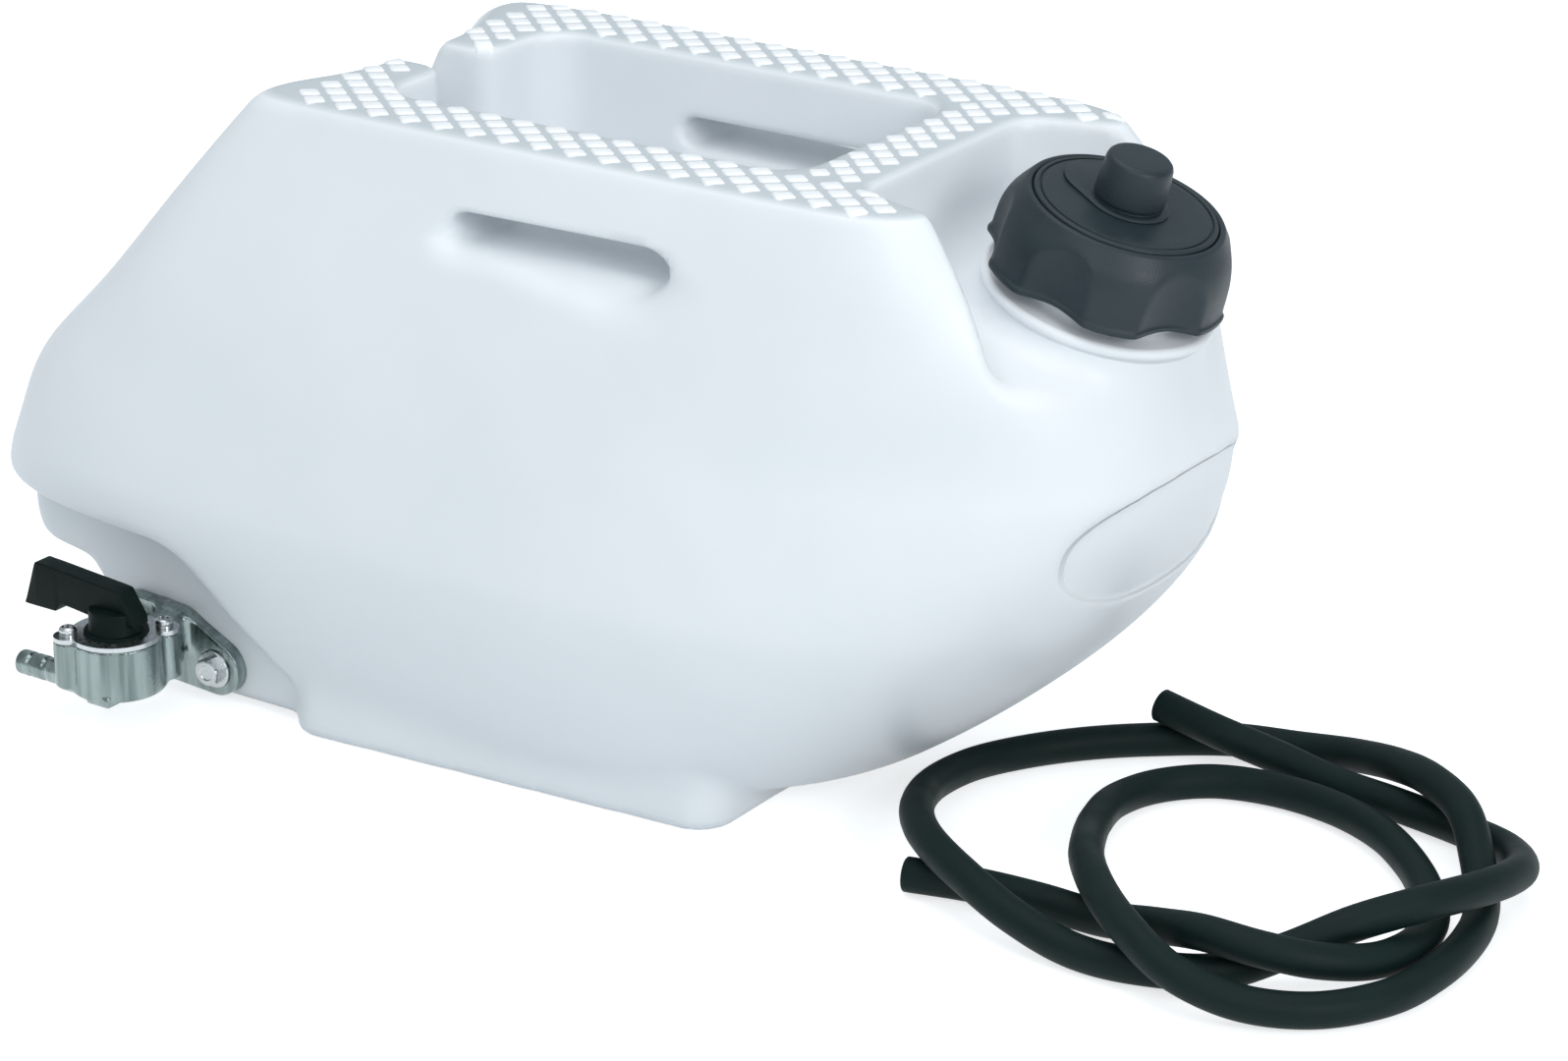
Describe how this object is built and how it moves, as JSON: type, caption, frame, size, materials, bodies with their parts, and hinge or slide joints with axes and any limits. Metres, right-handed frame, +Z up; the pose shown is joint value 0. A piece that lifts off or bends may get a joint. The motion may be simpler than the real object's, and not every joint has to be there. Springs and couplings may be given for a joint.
{
  "type": "motorcycle auxiliary fuel tank",
  "caption": "White moulded auxiliary fuel tank with an open well between treaded rails, hand slots, a screw cap on a canted neck, a lever fuel valve and a loose length of hose.",
  "frame": {"origin": "on the flat underside of the foot, in the tank's middle plane", "axes": "+X from the nose to the filler neck, +Y to the side away from the fuel valve, +Z up"},
  "size_m": [0.5103, 0.2329, 0.2117],
  "materials": {
    "shell": "satin translucent white",
    "cap": "fine-grained black",
    "liner": "smooth dark grey",
    "lever": "satin black",
    "casting": "die-cast, satin",
    "zinc": "zinc plated",
    "steel": "bright",
    "brass": "turned",
    "screen": "moulded mesh",
    "rubber": "matt",
    "hose": "matt black"
  },
  "bodies": {
    "tank": {"tank_shell": "shell", "threaded_inserts": "brass", "petcock_body": "casting", "flange_o_ring": "rubber", "flange_bolts": "zinc", "inlet_tube": "brass", "strainer_screen": "screen", "rotor_seal": "rubber", "wave_spring": "steel", "cover_plate": "casting", "screw_washers": "zinc", "cover_screws": "zinc", "fuel_hose": "hose"},
    "cap_lift": {"cap_gasket": "rubber"},
    "cap": {"cap_grip": "cap", "cap_liner": "liner", "cap_disc": "cap", "vent_knob": "cap", "vent_valve": "rubber"},
    "lever": {"petcock_lever": "lever", "rotor_o_ring": "rubber"}
  },
  "joints": [
    {"name": "cap_rise", "type": "slide", "parent": "tank", "child": "cap_lift", "axis": [0.2924, 0, 0.9563], "range_m": [0, 0.0125]},
    {"name": "cap_turn", "type": "hinge", "parent": "cap_lift", "child": "cap", "pos_m": [0.137, 0, 0.166], "axis": [0.2924, 0, 0.9563], "range_deg": [0, 900]},
    {"name": "lever_turn", "type": "hinge", "parent": "tank", "child": "lever", "pos_m": [-0.1485, -0.1125, 0.036], "axis": [0, 0, 1], "range_deg": [0, 90]}
  ],
  "couplings": [
    {"joint": "cap_rise", "follows": "cap_turn", "m_per_rad": 0.00079577}
  ]
}
